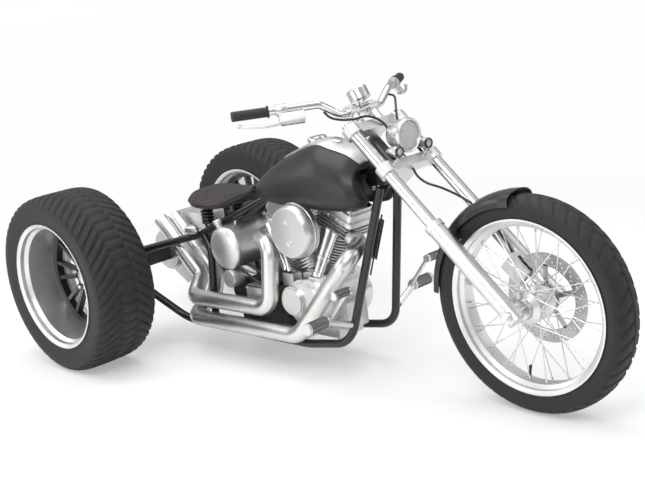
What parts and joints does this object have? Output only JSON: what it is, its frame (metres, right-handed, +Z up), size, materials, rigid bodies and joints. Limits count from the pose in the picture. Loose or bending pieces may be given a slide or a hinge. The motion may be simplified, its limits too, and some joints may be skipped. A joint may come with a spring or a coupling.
{
  "type": "motorized trike",
  "caption": "Three-wheeled motorcycle with a long raked fork, spoked front wheel, V-twin engine, solo seat and two wide car-type rear wheels.",
  "frame": {"origin": "on the floor, midway between the axles on the centre line", "axes": "+X forward, +Y to the rider's left, +Z up"},
  "size_m": [2.489, 1.245, 1.0261],
  "materials": {
    "frame_black": "semi-gloss black powder coat",
    "tank_black": "matt black paint",
    "cast_alloy": "bead-blasted and lightly polished alloy",
    "polished_alloy": "polished alloy",
    "brushed_alloy": "brushed bare alloy",
    "chrome_parts": "bright plated steel",
    "exhaust_metal": "satin ceramic-coated steel",
    "disc_steel": "ground steel",
    "tyre_rubber": "matt rubber",
    "grip_rubber": "matt rubber",
    "cable_black": "black cable cover",
    "seat_leather": "worn dark leather",
    "wheel_black": "satin black paint",
    "gearbox_black": "wrinkle black paint"
  },
  "bodies": {
    "chassis": {"frame_backbone": "frame_black", "frame_cradle_right": "frame_black", "frame_cradle_left": "frame_black", "frame_rail_right": "frame_black", "frame_rail_left": "frame_black", "axle_housing": "frame_black", "final_drive": "brushed_alloy", "crankcase": "cast_alloy", "cam_cover": "polished_alloy", "cylinder_front": "cast_alloy", "cylinder_rear": "cast_alloy", "rocker_boxes": "polished_alloy", "pushrod_tubes": "chrome_parts", "air_cleaner": "polished_alloy", "primary_cover": "polished_alloy", "transmission": "gearbox_black", "exhaust_front": "exhaust_metal", "exhaust_rear": "exhaust_metal", "oil_tank": "polished_alloy", "fuel_tank": "tank_black", "tank_dash": "brushed_alloy", "seat": "seat_leather", "seat_springs": "frame_black", "battery_box": "brushed_alloy", "foot_controls_right": "polished_alloy", "foot_controls_left": "polished_alloy", "rear_lamps": "polished_alloy"},
    "fork": {"fork_clamps": "brushed_alloy", "fork_tubes": "chrome_parts", "fork_sliders": "polished_alloy", "handlebar": "chrome_parts", "grips": "grip_rubber", "hand_control_right": "polished_alloy", "hand_control_left": "polished_alloy", "gauge": "chrome_parts", "headlight": "polished_alloy", "turn_signals": "polished_alloy", "front_fender": "frame_black", "front_caliper": "cast_alloy", "control_cables": "cable_black"},
    "front_wheel": {"front_tyre": "tyre_rubber", "front_rim": "polished_alloy", "front_spokes": "chrome_parts", "front_hub": "polished_alloy", "front_disc": "disc_steel"},
    "rear_wheel_right": {"rear_tyre_right": "tyre_rubber", "rear_rim_right": "polished_alloy", "rear_centre_right": "wheel_black"},
    "rear_wheel_left": {"rear_tyre_left": "tyre_rubber", "rear_rim_left": "polished_alloy", "rear_centre_left": "wheel_black"}
  },
  "joints": [
    {"name": "steering", "type": "hinge", "parent": "chassis", "child": "fork", "pos_m": [0.34628, 0, 0.78421], "axis": [-0.7325, 0, 0.6807], "range_deg": [-30, 30]},
    {"name": "front_wheel_spin", "type": "hinge", "parent": "fork", "child": "front_wheel", "pos_m": [0.8965, 0, 0.348], "axis": [0, 1, 0], "continuous": true},
    {"name": "rear_right_spin", "type": "hinge", "parent": "chassis", "child": "rear_wheel_right", "pos_m": [-0.8965, -0.496, 0.348], "axis": [0, 1, 0], "continuous": true},
    {"name": "rear_left_spin", "type": "hinge", "parent": "chassis", "child": "rear_wheel_left", "pos_m": [-0.8965, 0.496, 0.348], "axis": [0, 1, 0], "continuous": true}
  ]
}
